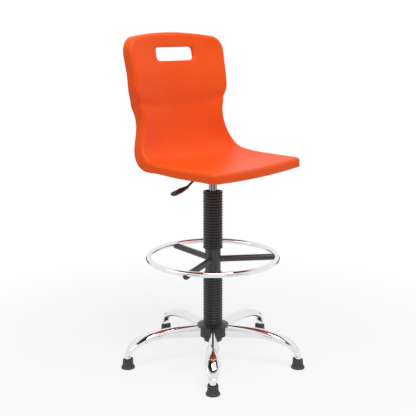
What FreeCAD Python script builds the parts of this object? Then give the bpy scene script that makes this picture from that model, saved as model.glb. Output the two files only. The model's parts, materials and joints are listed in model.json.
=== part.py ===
import FreeCAD, Part
import math
import os
import re
import Sketcher
from FreeCAD import Placement, Rotation, Vector

# Drafting chair with a one-piece plastic shell, a gas-spring column and a five-leg base on glides.
# Millimetres. The origin is on the floor, on the column's axis. +Z is up, the sitter faces -Y
# and the sitter's right is -X. The seat is modelled at the top of its travel.

SIZES = {
    # gas-spring column
    "column_diameter": 50, "column_wall": 1.5,
    "column_bottom": "=leg_ridge_height - column_taper_length", "column_top": "=ring_height + 59.6",
    "column_taper_length": 62, "column_taper_drop": 1.2, "column_floor": 3, "bush_length": 88,
    "bush_flange": 2, "slide_clearance": 0.05, "cylinder_diameter": 28, "cylinder_wall": 2,
    "cylinder_bottom": "=column_top - bush_length - 6",
    "cylinder_top": "=lever_height - lever_rod_diameter / 2 - 5", "cylinder_taper_length": 22,
    "cylinder_taper_drop": 0.6, "cylinder_head": 30, "rod_diameter": 10,
    "rod_end_diameter": "=rod_diameter - 2", "rod_reach": "=cylinder_bottom + guide_length + 16",
    "rod_tail": 8, "piston_length": 12, "guide_length": 12, "race_diameter": "=rod_diameter + 12",
    "race_thickness": 1.5, "ball_diameter": 3, "ball_play": 0.04,
    "buffer_diameter": "=rod_diameter + 10", "buffer_length": 14, "washer_thickness": 1.5,
    "clip_thickness": 1.5, "valve_diameter": 5, "valve_length": 32,
    # base
    "hub_diameter": "=column_diameter + 14", "hub_bottom": "=column_bottom",
    "cover_top": "=leg_ridge_height + 3", "cover_bottom": "=cover_top - 46",
    "cover_diameter": "=hub_diameter + 32", "cover_rim_diameter": "=cover_diameter + 15",
    "cover_rim_drop": 6, "cover_wall": 2.5, "leg_reach": 309, "leg_ridge_height": 128,
    "leg_width": 50, "leg_depth": 46, "leg_wall": 2, "first_leg_angle": -140.2,
    "leg_notch_clearance": 0.6, "glide_diameter": 47.5,
    "glide_body_diameter": "=glide_diameter - 11.5", "glide_height": 33, "glide_flange": 7,
    "stem_diameter": 11, "stem_clearance": 0.05, "stem_depth": "=glide_height - 12",
    "stem_rise": 18, "socket_diameter": 22, "socket_bottom": "=glide_height + 2",
    "socket_top": "=socket_bottom + 19",
    # foot ring
    "ring_radius": 223.3, "ring_tube": 19, "ring_wall": 1.5, "ring_height": 372.4, "ring_vent": 5,
    "spoke_diameter": 22, "spoke_wall": 1.5, "spoke_drop": 8.4, "spoke_end": "=ring_radius + 5.7",
    "spoke_dome": 5, "first_spoke_angle": -42.8, "ring_hub_diameter": "=column_diameter + 4",
    "ring_hub_bottom": "=ring_height - 59.4", "ring_hub_top": "=ring_height + 32.6",
    "ring_hub_flare": 3, "ring_boss_diameter": 13, "ring_boss_length": 6, "set_screw_diameter": 6,
    "set_screw_height": "=ring_hub_bottom + 21", "set_screw_socket": 3,
    # bellows
    "bellows_diameter": "=ring_hub_diameter + 14.5", "bellows_groove": 4, "bellows_wall": 1.4,
    "bellows_pitch": 9.9, "bellows_clearance": 0.4,
    "upper_bellows_length": "=mech_socket_bottom - 40 - ring_hub_top",
    # mechanism under the seat
    "plate_top": "=seat_centre_height - 12", "plate_thickness": 3, "plate_half_width": 80,
    "plate_half_depth": 75, "plate_flange": 10, "mech_socket_diameter": "=cylinder_diameter + 14",
    "mech_socket_bottom": "=cylinder_top - cylinder_taper_length",
    "mech_socket_relief": "=cylinder_diameter + 4", "bolt_diameter": 6,
    "bolt_x": "=plate_half_width - 18", "bolt_y": "=plate_half_depth - 17",
    "bolt_head": "=bolt_diameter + 4", "bolt_head_height": 4,
    "bolt_washer_diameter": "=bolt_diameter + 8", "bolt_washer_thickness": 1.5,
    "insert_diameter": "=bolt_diameter + 2", "insert_length": 8,
    "boss_diameter": "=insert_diameter + 8", "lever_angle": 9.5,
    "lever_height": "=plate_top - plate_thickness - 9",
    "lever_pivot": "=mech_socket_diameter / 2 + 11", "lever_rod_diameter": 8, "lever_knee": 117,
    "lever_knee_height": "=lever_height - 12", "lever_grip_start": 166,
    "lever_grip_height": "=lever_height - 31", "lever_grip_end": 253,
    "lever_tip_height": "=lever_height - 41", "lever_nip": 0.3, "lever_slot_play": 0.8,
    "pivot_diameter": 6, "pivot_eye": 14, "bracket_thickness": 3, "bracket_play": 0.3,
    "grip_width": 25, "grip_thickness": 15,
    # seat shell
    "shell_wall": 4, "shell_front": -203, "seat_front_height": "=seat_centre_height + 9",
    "seat_centre_height": 700, "seat_half_width": 236,
    "seat_rear_half_width": "=seat_half_width + 8", "waist_half_width": "=seat_half_width - 27",
    "back_half_width": "=seat_half_width", "back_top": "=seat_centre_height + 437",
    "back_crown": 13, "back_corner_radius": 56, "back_lean": 168.7, "slot_height": "=back_top - 72",
    "waist_height": "=seat_centre_height + 162", "rim_front": 28, "rim_back": 36, "slot_width": 189,
    "slot_opening": 46, "slot_corner": 14, "slot_collar": 14, "front_corner_radius": 16,
}
CELLS = re.compile(r"\b(" + "|".join(SIZES) + r")\b")

doc = FreeCAD.newDocument("DraftingChair")
sheet = doc.addObject("Spreadsheet::Sheet", "Sizes")
for row, alias in enumerate(SIZES, start=1):
    sheet.set(f"A{row}", alias)
    sheet.setAlias(f"B{row}", alias)
for row, size in enumerate(SIZES.values(), start=1):
    sheet.set(f"B{row}", str(size))
doc.recompute()

nodes = []


def bound(formula):
    """A formula in sheet names, as an expression that the document can follow."""
    return CELLS.sub(r"Sizes.\1", str(formula))


def value(formula):
    """The number that a formula in sheet names gives now."""
    result = sheet.evalExpression(bound(formula))
    return float(getattr(result, "Value", result))


def keep(piece):
    nodes.append(piece)
    return piece


def shaped(label, shape, placement=None):
    """A sub-part whose shape comes from Part's own functions."""
    piece = doc.addObject("Part::Feature", label)
    piece.Shape = shape
    if placement:
        piece.Placement = placement
    return keep(piece)


def origin_plane(body, role):
    for feature in body.Origin.OriginFeatures:
        if feature.Role == role:
            return feature
    raise ValueError(role)


def turned(label, profile, radius="0", angle="0"):
    """A body turned about its own Z axis from the (radius, height) corners of its profile, which
    are formulas. radius and angle say where its axis stands."""
    body = doc.addObject("PartDesign::Body", label)
    sketch = body.newObject("Sketcher::SketchObject", label + "_profile")
    sketch.AttachmentSupport = [(origin_plane(body, "XZ_Plane"), "")]
    sketch.MapMode = "FlatFace"
    corners = [Vector(value(r), value(z), 0) for r, z in profile]
    count = len(corners)
    for index in range(count):
        sketch.addGeometry(Part.LineSegment(corners[index], corners[(index + 1) % count]))
    for index in range(count):
        sketch.addConstraint(Sketcher.Constraint("Coincident", index, 2, (index + 1) % count, 1))
    for index, (r, z) in enumerate(profile):
        for kind, formula, axis in (("DistanceX", r, -2), ("DistanceY", z, -1)):
            if str(formula) == "0":
                sketch.addConstraint(Sketcher.Constraint("PointOnObject", index, 1, axis))
                continue
            place = sketch.addConstraint(Sketcher.Constraint(kind, -1, 1, index, 1, value(formula)))
            sketch.setExpression(f"Constraints[{place}]", bound(formula))
    turn = body.newObject("PartDesign::Revolution", label + "_turn")
    turn.Profile = sketch
    turn.ReferenceAxis = (sketch, ["V_Axis"])
    turn.Angle = 360
    body.Tip = turn
    sketch.Visibility = False
    if str(radius) != "0":
        body.setExpression("Placement.Base.x", bound(f"({radius}) * cos(({angle}) * 1 deg)"))
        body.setExpression("Placement.Base.y", bound(f"({radius}) * sin(({angle}) * 1 deg)"))
    return body


def tube(label, inner, outer, bottom, top, radius="0", angle="0"):
    profile = [(inner, bottom), (outer, bottom), (outer, top), (inner, top)]
    return turned(label, profile, radius, angle)


def around(count, first_angle):
    """The angles, in degrees, of count pieces spread evenly about the column."""
    return [first_angle + 360 / count * index for index in range(count)]


def about_column(angle):
    return Placement(Vector(0, 0, 0), Rotation(Vector(0, 0, 1), angle))


def smooth(points, periodic=False):
    curve = Part.BSplineCurve()
    curve.interpolate(Points=points, PeriodicFlag=periodic)
    return curve


def even_sections(middle, traits, count):
    """Evenly spaced places on a smooth line through the points of middle: each with the line's
    direction there and the traits, which change smoothly along the line."""
    reached = [0.0]
    for start, end in zip(middle, middle[1:]):
        reached.append(reached[-1] + (end - start).Length)
    path, trait_curve = Part.BSplineCurve(), Part.BSplineCurve()
    path.interpolate(Points=middle, Parameters=reached)
    trait_curve.interpolate(Points=traits, Parameters=reached)
    places = [reached[-1] * index / count for index in range(count + 1)]
    return [(path.value(u), path.tangent(u)[0], trait_curve.value(u)) for u in places]


def group(label, solids):
    """Like pieces that share one node, each a solid of its own."""
    return shaped(label, Part.makeCompound(solids))


# ---------------------------------------------------------------- base

# One leg from the hub to its tip: share of the reach, the centre's height as a share of the way
# from the glide's top to the ridge, and the section's width and depth as shares of the largest.
LEG_STATIONS = [
    (0.080, 0.747, 0.28, 1.00), (0.300, 0.768, 0.45, 0.96), (0.500, 0.800, 0.64, 0.83),
    (0.680, 0.764, 0.84, 0.70), (0.800, 0.674, 0.96, 0.62), (0.880, 0.558, 1.00, 0.56),
    (0.945, 0.411, 0.90, 0.48), (0.985, 0.253, 0.72, 0.41), (1.010, 0.095, 0.52, 0.37),
]
LEG_SECTIONS = 16
LEG_SECTION_POINTS = 12


def leg_form(growth, stop=LEG_SECTIONS):
    """The closed form of one leg along +X, from inside the hub to the section numbered stop,
    grown on all sides, or shrunk where growth is less than nothing."""
    reach, low = value("leg_reach"), value("glide_height")
    rise = value("leg_ridge_height") - low
    middle = [Vector(reach * along, 0, low + rise * high) for along, high, _, _ in LEG_STATIONS]
    traits = [Vector(wide, deep, 0) for _, _, wide, deep in LEG_STATIONS]
    sections = []
    for centre, along, (wide, deep, _) in even_sections(middle, traits, LEG_SECTIONS)[:stop + 1]:
        up = along.cross(Vector(0, 1, 0)) * -1
        half_width = value("leg_width") * wide / 2 + growth
        half_depth = value("leg_depth") * deep / 2 + growth
        ring = []
        for index in range(LEG_SECTION_POINTS):
            angle = 2 * math.pi * index / LEG_SECTION_POINTS
            ring.append(centre + Vector(0, half_width * math.cos(angle), 0)
                        + up * (half_depth * math.sin(angle)))
        sections.append(Part.Wire(smooth(ring, periodic=True).toShape()))
    return Part.makeLoft(sections, True, False)


def hub_taper(extra="0"):
    """Radius of the column at the hub's bottom."""
    return f"column_diameter / 2 - column_taper_drop + {extra}"


def base_hub():
    outer, bore = "hub_diameter / 2", "column_diameter / 2"
    top = "column_bottom + column_taper_length"
    profile = [(hub_taper(), "hub_bottom"), (outer, "hub_bottom"), (outer, top), (bore, top)]
    return keep(turned("base_hub", profile))


def legs():
    """Five hollow legs that meet the hub's wall and take the glide sockets in their tips."""
    hub_low, hub_tall = value("hub_bottom - 50"), value("leg_ridge_height + 100")
    hub = Part.makeCylinder(value("hub_diameter / 2"), hub_tall, Vector(0, 0, hub_low))
    below = Vector(value("leg_reach"), 0, value("socket_bottom - 40"))
    socket = Part.makeCylinder(value("socket_diameter / 2"), value("socket_top") - below.z, below)
    # the cylinder's seam is turned away from the leg's tip, where it would leave a sliver
    socket.rotate(below, Vector(0, 0, 1), 180)
    outside = leg_form(0)
    inside = leg_form(-value("leg_wall"), LEG_SECTIONS - 1)
    leg = outside.cut(inside).cut(hub).cut(socket)
    for number, angle in enumerate(around(5, value("first_leg_angle")), start=1):
        shaped(f"leg_{number}", leg.copy(), about_column(angle))


def glides():
    """Glides with the steel stems that they turn on, and the sockets that the stems plug into."""
    stem = value("stem_diameter / 2")
    stem_low = value("glide_height - stem_depth")
    stem_top = value("glide_height + stem_rise")
    stems, sockets = [], []
    for number, angle in enumerate(around(5, value("first_leg_angle")), start=1):
        foot = [
            ("0", "0"), ("glide_diameter / 2 - 1.5", "0"), ("glide_diameter / 2", "1.5"),
            ("glide_diameter / 2", "glide_flange * 0.6"),
            ("glide_body_diameter / 2 + 1", "glide_flange + 1"),
            ("glide_body_diameter / 2", "glide_height - 2"),
            ("glide_body_diameter / 2 - 2", "glide_height"), ("stem_diameter / 2", "glide_height"),
            ("stem_diameter / 2", "glide_height - stem_depth"), ("0", "glide_height - stem_depth"),
        ]
        keep(turned(f"glide_{number}", foot, "leg_reach", f"first_leg_angle + {72 * (number - 1)}"))
        spot = about_column(angle).multVec(Vector(value("leg_reach"), 0, 0))
        stems.append(Part.makeCylinder(stem, stem_top - stem_low, spot + Vector(0, 0, stem_low)))
        low, tall = value("socket_bottom"), value("socket_top - socket_bottom")
        barrel = Part.makeCylinder(value("socket_diameter / 2"), tall, spot + Vector(0, 0, low))
        bore = Part.makeCylinder(stem + value("stem_clearance"), tall, spot + Vector(0, 0, low))
        sockets.append(barrel.cut(bore))
    group("glide_stems", stems)
    group("glide_sockets", sockets)


def hub_cover():
    """Cover with a sloping top, a rim and a band, notched where the legs pass."""
    hole = "column_diameter / 2 + bellows_clearance"
    band, rim = "cover_diameter / 2", "cover_rim_diameter / 2"
    under = "cover_top - cover_wall"
    profile = [
        (hole, under), ("hub_diameter / 2 + 2", under),
        (f"{band} - cover_wall", "cover_top - cover_rim_drop - cover_wall"),
        (f"{band} - cover_wall", "cover_bottom"), (band, "cover_bottom"),
        (band, "cover_top - cover_rim_drop - 5"), (rim, "cover_top - cover_rim_drop - 1.5"),
        (rim, "cover_top - cover_rim_drop"), ("bellows_diameter / 2 + 1", "cover_top"),
        (hole, "cover_top"),
    ]
    whole = turned("hub_cover_blank", profile)
    doc.recompute()
    notch = leg_form(value("leg_notch_clearance"))
    notches = [notch.transformed(about_column(angle).toMatrix(), True)
               for angle in around(5, value("first_leg_angle"))]
    shaped("hub_cover", whole.Shape.cut(notches))


# ---------------------------------------------------------------- column

def column_tube():
    outer, inner = "column_diameter / 2", "column_diameter / 2 - column_wall"
    narrow = hub_taper()
    taper_top = "column_bottom + column_taper_length"
    hole = "rod_end_diameter / 2 + slide_clearance"
    profile = [
        (hole, "column_bottom"), (narrow, "column_bottom"), (outer, taper_top),
        (outer, "column_top"), (inner, "column_top"), (inner, taper_top),
        (f"{narrow} - column_wall", "column_bottom + column_floor"),
        (hole, "column_bottom + column_floor"),
    ]
    keep(turned("column_tube", profile))


def guide_bush():
    bore = "cylinder_diameter / 2 + slide_clearance"
    outer = "column_diameter / 2 - column_wall"
    foot = "column_top - bush_length"
    brim = "column_diameter / 2"
    profile = [
        (bore, foot), (outer, foot), (outer, "column_top"), (brim, "column_top"),
        (brim, "column_top + bush_flange"), (bore, "column_top + bush_flange"),
    ]
    keep(turned("guide_bush", profile))


def thrust_bearing():
    """Two races with balls between them, on the column's floor."""
    floor = "column_bottom + column_floor"
    bore, rim = "rod_end_diameter / 2 + slide_clearance", "race_diameter / 2"
    keep(tube("bearing_lower_race", bore, rim, floor, f"{floor} + race_thickness"))
    upper = f"{floor} + race_thickness + ball_diameter + ball_play"
    keep(tube("bearing_upper_race", "rod_end_diameter / 2", rim, upper, f"{upper} + race_thickness"))
    ball = value("ball_diameter / 2")
    track = value("(race_diameter + rod_end_diameter) / 4")
    height = value(f"{floor} + race_thickness + (ball_diameter + ball_play) / 2")
    count = int(2 * math.pi * track / (ball * 2.5))
    balls = []
    for angle in around(count, 0):
        spot = about_column(angle).multVec(Vector(track, 0, height))
        balls.append(Part.makeSphere(ball, spot))
    group("bearing_balls", balls)


def spindle():
    """The piston rod, which stands on the bearing, and what it carries."""
    shoulder = "column_bottom + column_floor + 2 * race_thickness + ball_diameter + ball_play"
    rod, tail = "rod_diameter / 2", "rod_end_diameter / 2"
    foot = "column_bottom - rod_tail"
    profile = [("0", foot), (tail, foot), (tail, shoulder), (rod, shoulder), (rod, "rod_reach"),
               ("0", "rod_reach")]
    keep(turned("piston_rod", profile))
    keep(tube("rod_washer", tail, f"{tail} + 6", "column_bottom - 0.1 - washer_thickness",
              "column_bottom - 0.1"))
    clip_top = "column_bottom - 0.1 - washer_thickness"
    keep(tube("rod_clip", tail, f"{tail} + 3.5", f"{clip_top} - clip_thickness", clip_top))
    keep(tube("rubber_buffer", rod, "buffer_diameter / 2", shoulder, f"{shoulder} + buffer_length"))
    bore = "cylinder_diameter / 2 - cylinder_wall"
    keep(tube("piston", rod, f"{bore} - slide_clearance", "rod_reach - piston_length - 2",
              "rod_reach - 2"))


def gas_cylinder():
    outer, bore = "cylinder_diameter / 2", "cylinder_diameter / 2 - cylinder_wall"
    valve = "valve_diameter / 2 + slide_clearance"
    taper_foot = "cylinder_top - cylinder_taper_length"
    profile = [
        (bore, "cylinder_bottom"), (outer, "cylinder_bottom"), (outer, taper_foot),
        (f"{outer} - cylinder_taper_drop", "cylinder_top"), (valve, "cylinder_top"),
        (valve, "cylinder_top - cylinder_head"), (bore, "cylinder_top - cylinder_head"),
    ]
    keep(turned("gas_cylinder", profile))
    keep(tube("rod_guide", "rod_diameter / 2 + slide_clearance", bore, "cylinder_bottom",
              "cylinder_bottom + guide_length"))
    button = "valve_diameter / 2"
    tip = "lever_height - lever_rod_diameter / 2 - lever_nip"
    pin = [("0", f"{tip} - valve_length"), (button, f"{tip} - valve_length"),
           (button, f"{tip} - 1.2"), (f"{button} - 1.5", tip), ("0", tip)]
    keep(turned("valve_pin", pin))


def bellows(label, bottom, length):
    """A ribbed rubber sleeve: rounded ribs, one wall thick, with a flat collar at each end."""
    crest, valley = value("bellows_diameter / 2"), value("bellows_diameter / 2 - bellows_groove")
    wall = value("bellows_wall")
    hole = value("column_diameter / 2 + bellows_clearance")
    ribs = round((length - 2 * wall) / value("bellows_pitch"))
    pitch = (length - 2 * wall) / ribs
    outline = [(hole, 0), (crest, 0), (crest, wall)]
    for rib in range(ribs):
        foot = wall + rib * pitch
        outline += [(valley, foot + 0.16 * pitch), (crest - 1, foot + 0.44 * pitch),
                    (crest, foot + 0.58 * pitch), (crest - 1, foot + 0.72 * pitch),
                    (valley, foot + pitch)]
    outline[-1] = (crest, length - wall)
    inner = [(r - wall * 1.3, z) for r, z in outline[3:-1]]
    opened = [(crest, length), (hole, length), (hole, length - wall)]
    points = outline + opened + inner[::-1] + [(hole, wall)]
    ring = Part.makePolygon([Vector(r, 0, bottom + z) for r, z in points + points[:1]])
    sleeve = Part.Face(ring).revolve(Vector(0, 0, 0), Vector(0, 0, 1), 360)
    shaped(label, sleeve)


def both_bellows():
    low = value("cover_top")
    bellows("lower_bellows", low, value("ring_hub_bottom") - low)
    bellows("upper_bellows", value("ring_hub_top"), value("upper_bellows_length"))


# ---------------------------------------------------------------- foot ring

def set_screw_place():
    """The set screw's hole, at the back of the ring's hub."""
    return Vector(0, value("column_diameter / 2 + slide_clearance"), value("set_screw_height"))


def ring_hub():
    bore = "column_diameter / 2 + slide_clearance"
    outer = "ring_hub_diameter / 2"
    flare = f"{outer} + ring_hub_flare"
    profile = [
        (bore, "ring_hub_bottom"), (flare, "ring_hub_bottom"), (flare, "ring_hub_bottom + 5"),
        (outer, "ring_hub_bottom + 8"), (outer, "ring_hub_top"), (bore, "ring_hub_top"),
    ]
    blank = turned("ring_hub_blank", profile)
    doc.recompute()
    place = set_screw_place()
    reach = value("ring_hub_diameter / 2 + ring_boss_length") - place.y
    boss = Part.makeCylinder(value("ring_boss_diameter / 2"), reach, place, Vector(0, 1, 0))
    bore_solid = Part.makeCylinder(value(bore), value("ring_hub_top"))
    hole = Part.makeCylinder(value("set_screw_diameter / 2"), reach + 1, place, Vector(0, 1, 0))
    shaped("ring_hub", blank.Shape.fuse(boss.cut(bore_solid)).cut(hole))


def ring_set_screw():
    place = set_screw_place()
    length = value("(ring_hub_diameter - column_diameter) / 2 + ring_boss_length - 1")
    screw = Part.makeCylinder(value("set_screw_diameter / 2"), length, place, Vector(0, 1, 0))
    across = value("set_screw_socket")
    corners = [Vector(across / math.sqrt(3) * math.cos(math.radians(60 * side)), 0,
                      across / math.sqrt(3) * math.sin(math.radians(60 * side)))
               for side in range(6)]
    key = Part.Face(Part.makePolygon(corners + corners[:1])).extrude(Vector(0, across, 0))
    key.translate(place + Vector(0, length - across, 0))
    column = Part.makeCylinder(value("column_diameter / 2"), value("column_top"))
    shaped("ring_set_screw", screw.cut(key).cut(column))


def ring_form(tube_radius):
    return Part.makeTorus(value("ring_radius"), tube_radius, Vector(0, 0, value("ring_height")))


def foot_ring():
    """A tube bent to a ring, with the small vent that a plated tube needs under it."""
    tube_radius = value("ring_tube / 2")
    hollow = ring_form(tube_radius - value("ring_wall"))
    angle = math.radians(value("first_spoke_angle + 40"))
    radius = value("ring_radius")
    spot = Vector(radius * math.cos(angle), radius * math.sin(angle),
                  value("ring_height - ring_tube"))
    vent = Part.makeCylinder(value("ring_vent / 2"), value("ring_tube"), spot)
    shaped("foot_ring", ring_form(tube_radius).cut(hollow).cut(vent))


def spokes():
    """Three tube spokes under the ring, each notched for it and closed with a domed plug."""
    outer = value("spoke_diameter / 2")
    inner = value("spoke_diameter / 2 - spoke_wall")
    height = value("ring_height - spoke_drop")
    end, dome = value("spoke_end"), value("spoke_dome")
    along = Vector(1, 0, 0)
    start = Vector(0, 0, height)
    hub = Part.makeCylinder(value("ring_hub_diameter / 2"), value("ring_hub_top"))
    ring = ring_form(value("ring_tube / 2"))
    bar = Part.makeCylinder(outer, end, start, along)
    spoke = bar.cut(Part.makeCylinder(inner, end, start, along)).cut(hub).cut(ring)
    ball = (outer * outer + dome * dome) / (2 * dome)
    cap = Part.makeSphere(ball, Vector(end + dome - ball, 0, height))
    rounded = Part.makeCylinder(outer, dome, start + along * end, along).common(cap)
    shank = Part.makeCylinder(inner, 14, start + along * (end - 14), along)
    plug = rounded.fuse(shank).cut(ring)
    plugs = []
    for number, angle in enumerate(around(3, value("first_spoke_angle")), start=1):
        shaped(f"spoke_{number}", spoke.copy(), about_column(angle))
        turned_plug = plug.transformed(about_column(angle).toMatrix(), True)
        plugs += turned_plug.Solids
    group("spoke_plugs", plugs)


# ---------------------------------------------------------------- mechanism under the seat

def plate_box(x_half, y_low, y_high, z_low, z_high):
    size_y, size_z = y_high - y_low, z_high - z_low
    return Part.makeBox(2 * x_half, size_y, size_z, Vector(-x_half, y_low, z_low))


def bolt_places(height):
    x, y = value("bolt_x"), value("bolt_y")
    return [Vector(sx * x, sy * y, height) for sx in (-1, 1) for sy in (-1, 1)]


def seat_plate():
    """A flat steel plate with its front and rear edges turned down."""
    half, depth = value("plate_half_width"), value("plate_half_depth")
    top, thick = value("plate_top"), value("plate_thickness")
    under = top - value("plate_flange")
    plate = plate_box(half, -depth, depth, top - thick, top)
    for low in (-depth, depth - thick):
        plate = plate.fuse(plate_box(half, low, low + thick, under, top))
    for place in bolt_places(top - thick - 1):
        plate = plate.cut(Part.makeCylinder(value("bolt_diameter / 2"), thick + 2, place))
    shaped("seat_plate", plate.removeSplitter())


def lever_side(shape):
    """Turns what is modelled along -X to the lever's own direction."""
    return shape.transformed(about_column(value("lever_angle")).toMatrix(), True)


def taper_socket():
    """The steel tube that wedges onto the cylinder's taper, slotted for the lever."""
    outer = "mech_socket_diameter / 2"
    bore = "cylinder_diameter / 2"
    relief = "mech_socket_relief / 2"
    under = "plate_top - plate_thickness"
    profile = [
        (bore, "mech_socket_bottom"), (outer, "mech_socket_bottom"), (outer, under),
        (relief, under), (relief, "cylinder_top"),
        (f"{bore} - cylinder_taper_drop", "cylinder_top"),
    ]
    blank = turned("taper_socket_blank", profile)
    doc.recompute()
    half = value("lever_rod_diameter / 2 + lever_slot_play")
    low = value("lever_height - lever_rod_diameter / 2 - 4")
    slot = Part.makeBox(value(outer) + 5, 2 * half, value(under) - low + 1,
                        Vector(-value(outer) - 5, -half, low))
    shaped("taper_socket", blank.Shape.cut(lever_side(slot)))


def seat_fasteners():
    under = value("plate_top - plate_thickness")
    shank, head = value("bolt_diameter / 2"), value("bolt_head / 2")
    washer = value("bolt_washer_thickness")
    top = value("plate_top")
    bolts, washers, inserts = [], [], []
    for place in bolt_places(0):
        seat = place + Vector(0, 0, under - washer)
        ring = Part.makeCylinder(value("bolt_washer_diameter / 2"), washer, seat)
        washers.append(ring.cut(Part.makeCylinder(shank, washer, seat)))
        tall = value("bolt_head_height")
        cap = Part.makeCylinder(head, tall, seat - Vector(0, 0, tall))
        key = Part.makeCylinder(head / 2, tall / 2, seat - Vector(0, 0, tall))
        screw = Part.makeCylinder(shank, top + value("insert_length") - 1 - seat.z, seat)
        bolts.append(cap.fuse(screw).cut(key))
        spot = place + Vector(0, 0, top)
        sleeve = Part.makeCylinder(value("insert_diameter / 2"), value("insert_length"), spot)
        inserts.append(sleeve.cut(Part.makeCylinder(shank, value("insert_length"), spot)))
    group("seat_bolts", bolts)
    group("bolt_washers", washers)
    group("seat_inserts", inserts)


def lever_bracket():
    """Two ears under the plate, joined by a short web, that hold the lever's pivot pin."""
    inner = value("lever_rod_diameter / 2 + lever_slot_play + bracket_play")
    thick = value("bracket_thickness")
    pivot = value("lever_pivot")
    top = value("plate_top - plate_thickness")
    low = value("lever_height - pivot_eye / 2")
    near = value("mech_socket_diameter / 2") + 0.5
    far = pivot + value("pivot_eye / 2") + 3
    ears = []
    for side in (-1, 1):
        centre = side * (inner + thick / 2)
        ears.append(Part.makeBox(far - near, thick, top - low, Vector(-far, centre - thick / 2, low)))
    web = Part.makeBox(far - near, 2 * inner, 1.5, Vector(-far, -inner, top - 1.5))
    bracket = ears[0].fuse(ears[1]).fuse(web)
    hole = Part.makeCylinder(value("pivot_diameter / 2"), 4 * (inner + thick),
                             Vector(-pivot, -2 * (inner + thick), value("lever_height")),
                             Vector(0, 1, 0))
    shaped("lever_bracket", lever_side(bracket.cut(hole).removeSplitter()))
    pin = Part.makeCylinder(value("pivot_diameter / 2"), 2 * (inner + thick) + 2,
                            Vector(-pivot, -(inner + thick) - 1, value("lever_height")),
                            Vector(0, 1, 0))
    shaped("lever_pivot_pin", lever_side(pin))


def lever_path():
    """The rod's points: over the valve, at the knee, where the grip starts and inside the grip."""
    grip = value("lever_grip_start")
    tip = value("lever_grip_end")
    fall = value("lever_tip_height - lever_grip_height")
    share = 0.7
    return [
        Vector(0, 0, value("lever_height")),
        Vector(-value("lever_pivot + pivot_eye"), 0, value("lever_height")),
        Vector(-value("lever_knee"), 0, value("lever_knee_height")),
        Vector(-grip, 0, value("lever_grip_height")),
        Vector(-(grip + share * (tip - grip)), 0, value("lever_grip_height") + share * fall),
    ]


def lever_rod():
    """A bent steel rod with an eye at its pivot, whose rounded nose presses the valve."""
    radius = value("lever_rod_diameter / 2")
    points = lever_path()
    rod = Part.makeSphere(radius, points[0])
    for start, end in zip(points, points[1:]):
        rod = rod.fuse(Part.makeCylinder(radius, (end - start).Length, start, end - start))
        rod = rod.fuse(Part.makeSphere(radius, end))
    half = radius + value("lever_slot_play")
    spot = Vector(-value("lever_pivot"), -half, value("lever_height"))
    rod = rod.fuse(Part.makeCylinder(value("pivot_eye / 2 - 1"), 2 * half, spot, Vector(0, 1, 0)))
    bore = value("pivot_diameter / 2 + slide_clearance")
    rod = rod.cut(Part.makeCylinder(bore, 2 * half, spot, Vector(0, 1, 0)))
    shaped("lever_rod", lever_side(rod))


# The grip from the rod to its tip: share of its length, and its width and thickness as shares
# of the largest ones.
GRIP_STATIONS = [
    (0.00, 0.52, 0.78), (0.22, 0.66, 0.86), (0.55, 0.92, 1.00), (0.82, 1.00, 0.94),
    (0.95, 0.80, 0.74), (1.00, 0.50, 0.40),
]


def lever_handle():
    """A plastic grip, moulded round the rod, wider and flatter towards its end."""
    start = Vector(-value("lever_grip_start"), 0, value("lever_grip_height"))
    end = Vector(-value("lever_grip_end"), 0, value("lever_tip_height"))
    along = end - start
    up = Vector(0, 1, 0).cross(along).normalize()
    sections = []
    for share, wide, thick in GRIP_STATIONS:
        ring = []
        for index in range(8):
            angle = 2 * math.pi * index / 8
            ring.append(start + along * share
                        + Vector(0, value("grip_width / 2") * wide * math.cos(angle), 0)
                        + up * (value("grip_thickness / 2") * thick * math.sin(angle)))
        sections.append(Part.Wire(smooth(ring, periodic=True).toShape()))
    grip = Part.makeLoft(sections, True, False)
    radius = value("lever_rod_diameter / 2")
    points = lever_path()
    for first, last in zip(points[2:], points[3:]):
        grip = grip.cut(Part.makeCylinder(radius, (last - first).Length, first, last - first))
        grip = grip.cut(Part.makeSphere(radius, last))
    shaped("lever_handle", lever_side(grip))


# ---------------------------------------------------------------- seat shell

SHELL_SECTIONS = 26


def shell_stations():
    """Stations along the shell's middle, from the front edge to past the back's top: place
    (y, z), half width, hollow (how far the middle lies behind the edges) and rim depth."""
    front, low = value("shell_front"), value("seat_centre_height")
    lip = value("seat_front_height")
    seat, rear = value("seat_half_width"), value("seat_rear_half_width")
    waist, back = value("waist_half_width"), value("back_half_width")
    rim, deep = value("rim_front"), value("rim_back")
    lean, slot = value("back_lean"), value("slot_height")
    narrow, top = value("waist_height"), value("back_top")
    return [
        (front, lip - 1, seat, 6, rim + 4), (front * 0.62, low + 5, seat + 1, 11, rim + 3),
        (front * 0.20, low, seat + 3, 18, rim + 3), (45, low + 2, rear - 2, 23, rim + 4),
        (92, low + 14, rear, 25, deep + 4), (121, low + 45, rear - 7, 25, deep + 4),
        (138, low + 96, waist + 9, 25, deep), (147, narrow, waist, 25, deep),
        (150, narrow + 34, waist + 9, 24, deep), (150, narrow + 78, back - 3, 25, deep),
        (156, narrow + 140, back - 1, 26, deep), (lean, slot, back + 1, 27, deep),
        (lean + 6, top - 26, back - 4, 27, deep), (lean + 7, top + 14, back - 10, 27, deep),
    ]


def shell_sections():
    """Evenly spaced sections along the shell: middle, direction along it, half width, hollow
    and rim depth."""
    stations = shell_stations()
    middle = [Vector(0, y, z) for y, z, _, _, _ in stations]
    traits = [Vector(half, hollow, rim) for _, _, half, hollow, rim in stations]
    return even_sections(middle, traits, SHELL_SECTIONS)


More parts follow.
